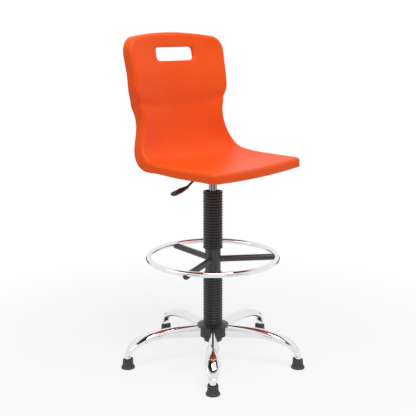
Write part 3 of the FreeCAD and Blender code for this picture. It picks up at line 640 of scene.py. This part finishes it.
def shell_grid(form, sizes):
    """Places (across, along) of a grid of cells that fills the outline."""
    front, right, above = shell_outline(form, sizes)
    front, above = evenly(front, sizes.across), evenly(above, sizes.across)
    right = evenly(right, sizes.along)
    left = right * np.array([-1, 1])
    a = np.linspace(0, 1, sizes.across + 1)[None, :, None]
    b = np.linspace(0, 1, sizes.along + 1)[:, None, None]
    blend = (1 - b) * front[None] + b * above[None] + (1 - a) * left[:, None] + a * right[:, None]
    corners = ((1 - a) * (1 - b) * front[0] + a * (1 - b) * front[-1]
               + (1 - a) * b * above[0] + a * b * above[-1])
    return blend - corners


def slot_rim(form, sizes, place):
    """The nearest place on the outline of the slot's rounded edge."""
    x, u = place
    for _ in range(12):
        away = float(form.slot_distance(x, u)) - sizes.slot_roll
        step = 0.2 * MM
        slope = np.array([float(form.slot_distance(x + step, u) - form.slot_distance(x - step, u)),
                          float(form.slot_distance(x, u + step) - form.slot_distance(x, u - step))])
        slope /= max(np.linalg.norm(slope), 1e-9)
        x, u = x - slope[0] * away, u - slope[1] * away
    return x, u


def edge_rings(form, loop_places, roll, depth, inward, turn_steps=7, drop_steps=3):
    """Rings of points that carry a closed edge over a roll and then straight back.
    inward is true for a hole, whose edge rolls towards the loop's own middle."""
    across, along = loop_places[:, 0], loop_places[:, 1]
    start = form.points(across, along)
    normal = form.normals(across, along)
    ahead = np.roll(start, -1, axis=0) - np.roll(start, 1, axis=0)
    ahead /= np.linalg.norm(ahead, axis=1, keepdims=True)
    outward = np.cross(ahead, normal)
    middle = start.mean(axis=0)
    sign = np.sign(np.sum((outward * (start - middle)).sum(axis=1)))
    outward *= -sign if inward else sign
    back = -form.facing(along)
    turned = back - (back * outward).sum(axis=1, keepdims=True) * outward
    turned /= np.linalg.norm(turned, axis=1, keepdims=True)
    sweep = np.arccos(np.clip((outward * back).sum(axis=1), -1, 1))
    rings = []
    for step in range(1, turn_steps + 1):
        angle = (sweep * step / turn_steps)[:, None]
        rings.append(start + roll * (outward * np.sin(angle) + turned * (1 - np.cos(angle))))
    reached = ((rings[-1] - start) * back).sum(axis=1)
    for step in range(1, drop_steps + 1):
        share = step / drop_steps
        rings.append(rings[turn_steps - 1] + back * ((depth - reached) * share)[:, None])
    return rings


def shell_sheet(form, sizes):
    """Points and faces of the whole sheet: the sitter's side, the rolled edge with its rim, and
    the slot's rounded edge with its collar."""
    grid = shell_grid(form, sizes)
    rows, columns = grid.shape[:2]
    number = np.arange(rows * columns).reshape(rows, columns)
    places = grid.reshape(-1, 2).copy()
    centres = (grid[:-1, :-1] + grid[1:, 1:] + grid[:-1, 1:] + grid[1:, :-1]) / 4
    open_cell = form.slot_distance(centres[..., 0], centres[..., 1]) < sizes.slot_roll
    filled = np.argwhere(~open_cell)
    faces = [(number[r, c], number[r, c + 1], number[r + 1, c + 1], number[r + 1, c])
             for r, c in filled]
    hole_rows, hole_columns = np.where(open_cell)
    used = {int(index) for face in faces for index in face}
    cut = {int(i) for r, c in zip(hole_rows, hole_columns)
           for i in (number[r, c], number[r, c + 1], number[r + 1, c], number[r + 1, c + 1])}
    rim = cut & used
    for index in rim:
        places[index] = slot_rim(form, sizes, places[index])
    near = np.abs(form.slot_distance(places[:, 0], places[:, 1])) < 40 * MM
    inner = np.zeros(len(places), bool)
    inner[number[1:-1, 1:-1].ravel()] = True
    free = near & inner
    free[list(rim)] = False
    for _ in range(6):
        moved = (np.roll(places, 1, 0) + np.roll(places, -1, 0)
                 + np.roll(places, columns, 0) + np.roll(places, -columns, 0)) / 4
        places[free] = moved[free]
    points = list(form.points(places[:, 0], places[:, 1]))
    border = np.concatenate([number[0, :-1], number[:-1, -1], number[-1, :0:-1], number[:0:-1, 0]])
    middle = np.array([0.0, float(form.along_to(form.SLOT))])
    by_angle = sorted(rim, key=lambda i: math.atan2(places[i][1] - middle[1], places[i][0]))
    for loop, inward in ((border, False), (np.array(by_angle), True)):
        loop_places = places[loop]
        if inward:
            depth = np.full(len(loop), sizes.slot_collar)
            rings = edge_rings(form, loop_places, sizes.slot_roll, depth, True)
        else:
            depth = form.rim(loop_places[:, 1])
            rings = edge_rings(form, loop_places, sizes.roll, depth, False)
        previous = loop
        for ring in rings:
            here = np.arange(len(points), len(points) + len(loop))
            points += list(ring)
            for index in range(len(loop)):
                after = (index + 1) % len(loop)
                side = (previous[index], here[index], here[after], previous[after])
                faces.append(side[::-1] if inward else side)
            previous = here
    kept = sorted({int(index) for face in faces for index in face})
    renumber = {old: new for new, old in enumerate(kept)}
    faces = [tuple(renumber[int(index)] for index in face) for face in faces]
    return [points[index] for index in kept], faces


def applied(piece, kind, **choices):
    """The piece with one modifier made and applied."""
    modifier = piece.modifiers.new(kind.title(), kind)
    for name, choice in choices.items():
        setattr(modifier, name, choice)
    graph = bpy.context.evaluated_depsgraph_get()
    mesh = bpy.data.meshes.new_from_object(piece.evaluated_get(graph))
    piece.modifiers.remove(modifier)
    piece.data = mesh
    return piece


class CHAIR_OT_shell(bpy.types.Operator):
    """Moulds the seat and back in one sheet, with a rolled rim, a hand slot and bolt bosses"""

    bl_idname = "chair.shell"
    bl_label = "Moulded shell"

    def execute(self, context):
        sizes = settings().shell
        form = ShellForm(sizes)
        finish = material("moulded_orange", moulded_orange)
        points, faces = shell_sheet(form, sizes)
        shell = mesh_piece("moulded_shell", points, faces, finish, "seat",
                           ["seat_shell"])
        applied(shell, "SOLIDIFY", thickness=sizes.wall, offset=-1, use_quality_normals=True)
        for polygon in shell.data.polygons:
            polygon.use_smooth = True
        shell.data.set_sharp_from_angle(angle=math.radians(50))
        self.bosses(form, finish)
        return {"FINISHED"}

    def bosses(self, form, finish):
        """Short bosses under the seat that hold the threaded inserts."""
        low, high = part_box("seat_inserts")
        insert = 4 * MM
        boss = 8 * MM
        under = form.SEAT + 2 * MM
        points, faces = [], []
        for x in (low.x + insert, high.x - insert):
            for y in (low.y + insert, high.y - insert):
                profile = [(insert, PLATE_TOP), (boss, PLATE_TOP), (boss, under - 5 * MM),
                           (boss + 3 * MM, under - 1 * MM), (insert, under - 1 * MM)]
                more, sides = lathe(profile, 32, (x, y))
                faces += [tuple(index + len(points) for index in side) for side in sides]
                points += more
        mesh_piece("shell_bosses", points, faces, finish, "seat", smooth=False)


# ---------------------------------------------------------------- gaiters, glides

def gaiter_profile(low, high, sizes):
    """A rubber sleeve's closed profile: plain collars and round ribs outside, a bore inside."""
    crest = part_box("upper_bellows")[1].x
    bore = COLUMN_RADIUS + 0.4 * MM
    ribs = round((high - low - 2 * sizes.collar) / sizes.rib_pitch)
    pitch = (high - low - 2 * sizes.collar) / ribs
    steps = 12
    outside = [(bore, low), (crest - 0.8 * MM, low), (crest, low + 0.8 * MM)]
    for index in range(ribs * steps + 1):
        share = index / steps
        wave = abs(math.sin(math.pi * share)) ** 0.9
        outside.append((crest - sizes.groove * (1 - wave), low + sizes.collar + share * pitch))
    outside += [(crest, high - 0.8 * MM), (crest - 0.8 * MM, high), (bore, high)]
    return outside


class CHAIR_OT_gaiters(bpy.types.Operator):
    """Makes the ribbed rubber gaiters above and below the foot ring"""

    bl_idname = "chair.gaiters"
    bl_label = "Ribbed gaiters"

    def execute(self, context):
        sizes = settings().gaiters
        finish = material("gaiter_rubber", gaiter_rubber)
        for name in ("lower_bellows", "upper_bellows"):
            low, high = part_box(name)
            points, faces = lathe(gaiter_profile(low.z, high.z, sizes), 72)
            piece = mesh_piece(name.replace("bellows", "gaiter"), points, faces, finish, "base",
                               [name])
            if name == "upper_bellows":
                self.fold_up(piece, low, high)
        return {"FINISHED"}

    def fold_up(self, piece, low, high):
        """Works out the share of the upper gaiter's length that the gas spring's travel leaves, and
        gives the gaiter a mesh of its own; the mesh is not shortened.
        """
        travel = next(j for j in frame["joints"] if j["name"] == "lift")["range_m"]
        keep = 1 - max(abs(limit) for limit in travel) / (high.z - low.z)
        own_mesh(piece)


class CHAIR_OT_glides(bpy.types.Operator):
    """Makes the five rubber glides, flared at the floor and raised on the hub's side"""

    bl_idname = "chair.glides"
    bl_label = "Glides"

    def execute(self, context):
        finish = material("glide_rubber", glide_rubber)
        for number in LEGS:
            name = f"glide_{number}"
            low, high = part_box(name)
            self.glide(name, low, high, finish)
        return {"FINISHED"}

    def glide(self, name, low, high, finish):
        centre = ((low.x + high.x) / 2, (low.y + high.y) / 2)
        towards_hub = math.atan2(-centre[1], -centre[0])
        foot = (high.x - low.x) / 2
        body = foot - 5.75 * MM
        top = high.z
        hole = 5.6 * MM
        corners = [(hole, 2 * MM), (foot - 5 * MM, 0), (foot, 0), (foot, 5 * MM),
                   (body + 1.5 * MM, 10 * MM), (body, 20 * MM), (body, top), (hole, top)]
        bends = [0, 1 * MM, 1.2 * MM, 2.5 * MM, 5 * MM, 5 * MM, 2.5 * MM, 0]
        profile = eased(corners, bends, 4)

        def saddle(angle, height):
            share = max(0, (height - 20 * MM) / (top - 20 * MM))
            return 2.6 * MM * share * math.cos(angle - towards_hub)

        points, faces = lathe(profile, 48, centre, saddle)
        mesh_piece(f"rubber_{name}", points, faces, finish, "base", [name])


# ---------------------------------------------------------------- carried-over pieces

class CHAIR_OT_base(bpy.types.Operator):
    """Finishes the chromed legs and sockets, the hub and its cover"""

    bl_idname = "chair.base"
    bl_label = "Base"

    def execute(self, context):
        legs = [f"leg_{number}" for number in LEGS]
        finish_nodes(legs + ["glide_sockets"], material("leg_chrome", polished_chrome))
        finish_nodes(["hub_cover"], material("cover_plastic", satin_plastic))
        finish_nodes(["base_hub"], material("hub_paint", powder_coat))
        finish_nodes(["glide_stems"], material("stem_zinc", zinc_plate))
        return {"FINISHED"}


class CHAIR_OT_column(bpy.types.Operator):
    """Finishes the column, the gas spring and the bearing inside it"""

    bl_idname = "chair.column"
    bl_label = "Column and gas spring"

    def execute(self, context):
        finish_nodes(["column_tube"], material("column_paint", powder_coat))
        finish_nodes(["gas_cylinder", "piston_rod"], material("cylinder_steel", ground_steel))
        finish_nodes(["guide_bush"], material("bush_plastic", satin_plastic))
        finish_nodes(["rubber_buffer"], material("buffer_rubber", glide_rubber))
        small = ["bearing_lower_race", "bearing_upper_race", "bearing_balls", "rod_washer",
                 "rod_clip", "piston", "rod_guide", "valve_pin"]
        finish_nodes(small, material("column_zinc", zinc_plate))
        return {"FINISHED"}


class CHAIR_OT_foot_ring(bpy.types.Operator):
    """Finishes the chromed foot ring, its painted spokes and its hub"""

    bl_idname = "chair.foot_ring"
    bl_label = "Foot ring"

    def execute(self, context):
        finish_nodes(["foot_ring"], material("ring_chrome", polished_chrome))
        spokes = ["spoke_1", "spoke_2", "spoke_3"]
        finish_nodes(spokes + ["ring_hub"], material("spoke_paint", powder_coat))
        finish_nodes(["spoke_plugs"], material("plug_plastic", satin_plastic))
        finish_nodes(["ring_set_screw"], material("screw_zinc", zinc_plate))
        return {"FINISHED"}


class CHAIR_OT_mechanism(bpy.types.Operator):
    """Finishes the seat plate, the taper socket, the bolts and the release lever"""

    bl_idname = "chair.mechanism"
    bl_label = "Mechanism and lever"

    def execute(self, context):
        painted = ["seat_plate", "taper_socket", "lever_bracket", "lever_rod"]
        finish_nodes(painted, material("plate_paint", powder_coat))
        finish_nodes(["lever_handle"], material("grip_plastic", grip_plastic))
        plated = ["seat_bolts", "bolt_washers", "lever_pivot_pin"]
        finish_nodes(plated, material("bolt_zinc", zinc_plate))
        finish_nodes(["seat_inserts"], material("insert_brass", turned_brass))
        return {"FINISHED"}


# ---------------------------------------------------------------- stage

class CHAIR_OT_stage(bpy.types.Operator):
    """Lays the pale floor and sets the studio light and the camera"""

    bl_idname = "chair.stage"
    bl_label = "Stage"

    def execute(self, context):
        stage = settings().stage
        self.floor()
        self.room(stage)
        self.lamp("key_lamp", stage.key, 1.5, (-0.5, -0.9, 3.1))
        self.lamp("fill_lamp", stage.fill, 2.2, (-2.6, 1.2, 1.9))
        self.camera(stage)
        context.scene.view_settings.view_transform = "Standard"
        return {"FINISHED"}

    def floor(self):
        half = 30.0
        corners = [(-half, -half, 0), (half, -half, 0), (half, half, 0), (-half, half, 0)]
        mesh = bpy.data.meshes.new("floor")
        mesh.from_pydata(corners, [], [(0, 1, 2, 3)])
        floor = bpy.data.objects.new("floor", mesh)
        floor.location.z = -0.2 * MM
        bpy.context.scene.collection.objects.link(floor)
        floor.data.materials.append(material("stage_white", stage_white))

    def room(self, stage):
        """Soft light that falls off below the horizon. Reflections see white walls under a
        dark ceiling, which draws the black streaks on the chrome."""
        world = bpy.data.worlds.new("studio")
        bpy.context.scene.world = world
        nodes = Nodes(world)
        direction = nodes.node("ShaderNodeTexCoord", output="Generated")
        x, y, height = nodes.split(direction)
        away = x * math.sin(stage.azimuth) + y * math.cos(stage.azimuth)
        path = nodes.node("ShaderNodeLightPath").socket.node.outputs
        camera, glossy = Value(nodes, path["Is Camera Ray"]), Value(nodes, path["Is Glossy Ray"])
        near = nodes.node("ShaderNodeValToRGB", {"stops": [
            (0.0, 0.90), (0.62, 0.92), (0.76, (0.40, 0.26, 0.18)), (0.81, 0.02), (1.0, 0.02)]},
            {"Fac": height})
        beyond = nodes.node("ShaderNodeValToRGB", {"stops": [
            (0.0, 0.95), (0.80, 0.98), (0.88, 0.03), (1.0, 0.02)]}, {"Fac": height})
        seen = nodes.mix(away.between(-0.1, 0.2), near, beyond)
        reflected = nodes.node("ShaderNodeBackground", None, {"Color": seen, "Strength": 1.0})
        soft = stage.room * (0.42 + height.between(-0.4, 0.9) * 0.58)
        even = nodes.node("ShaderNodeBackground", None, {"Color": (1, 1, 1), "Strength": soft})
        white = nodes.node("ShaderNodeBackground", None, {"Color": (1, 1, 1), "Strength": 1.0})
        first = nodes.node("ShaderNodeMixShader", None, {0: glossy, 1: even, 2: reflected})
        both = nodes.node("ShaderNodeMixShader", None, {0: camera, 1: first, 2: white})
        nodes.node("ShaderNodeOutputWorld", None, {"Surface": both})

    def lamp(self, name, power, size, place):
        lamp = bpy.data.lights.new(name, "AREA")
        lamp.energy = power
        lamp.size = size
        holder = bpy.data.objects.new(name, lamp)
        holder.location = place
        aim = Vector((0, 0, 0.8)) - holder.location
        holder.rotation_euler = aim.to_track_quat("-Z", "Y").to_euler()
        bpy.context.scene.collection.objects.link(holder)

    def camera(self, stage):
        camera = bpy.data.cameras.new("camera")
        camera.lens = stage.lens
        camera.sensor_width = 36
        camera.shift_x = stage.shift
        holder = bpy.data.objects.new("camera", camera)
        look = Vector((math.sin(stage.azimuth), math.cos(stage.azimuth), 0))
        holder.location = -look * stage.distance + Vector((0, 0, stage.height))
        aim = look * math.cos(stage.pitch) - Vector((0, 0, math.sin(stage.pitch)))
        holder.rotation_euler = aim.to_track_quat("-Z", "Y").to_euler()
        bpy.context.scene.collection.objects.link(holder)
        bpy.context.scene.camera = holder


# ---------------------------------------------------------------- panel and run

class CHAIR_PT_sidebar(bpy.types.Panel):
    bl_label = "Drafting chair"
    bl_idname = "CHAIR_PT_sidebar"
    bl_space_type = "VIEW_3D"
    bl_region_type = "UI"
    bl_category = "Chair"

    def draw(self, context):
        for operator in OPERATORS:
            self.layout.operator(operator.bl_idname)
        for part in ("colours", "shell", "gaiters", "stage"):
            group = getattr(settings(), part)
            box = self.layout.box()
            box.label(text=part.title())
            for name in group.__annotations__:
                box.prop(group, name)


OPERATORS = (CHAIR_OT_stage, CHAIR_OT_shell, CHAIR_OT_gaiters, CHAIR_OT_glides, CHAIR_OT_base,
             CHAIR_OT_column, CHAIR_OT_foot_ring, CHAIR_OT_mechanism)
CLASSES = (ChairColours, ChairShell, ChairGaiters, ChairStage, ChairSettings,
           *OPERATORS, CHAIR_PT_sidebar)


def register():
    for kind in CLASSES:
        bpy.utils.register_class(kind)
    bpy.types.Scene.drafting_chair = PointerProperty(type=ChairSettings)


def unregister():
    del bpy.types.Scene.drafting_chair
    for kind in reversed(CLASSES):
        bpy.utils.unregister_class(kind)


def main():
    register()
    bpy.ops.chair.stage()
    bpy.ops.chair.shell()
    bpy.ops.chair.gaiters()
    bpy.ops.chair.glides()
    bpy.ops.chair.base()
    bpy.ops.chair.column()
    bpy.ops.chair.foot_ring()
    bpy.ops.chair.mechanism()


if __name__ == "__main__":
    main()
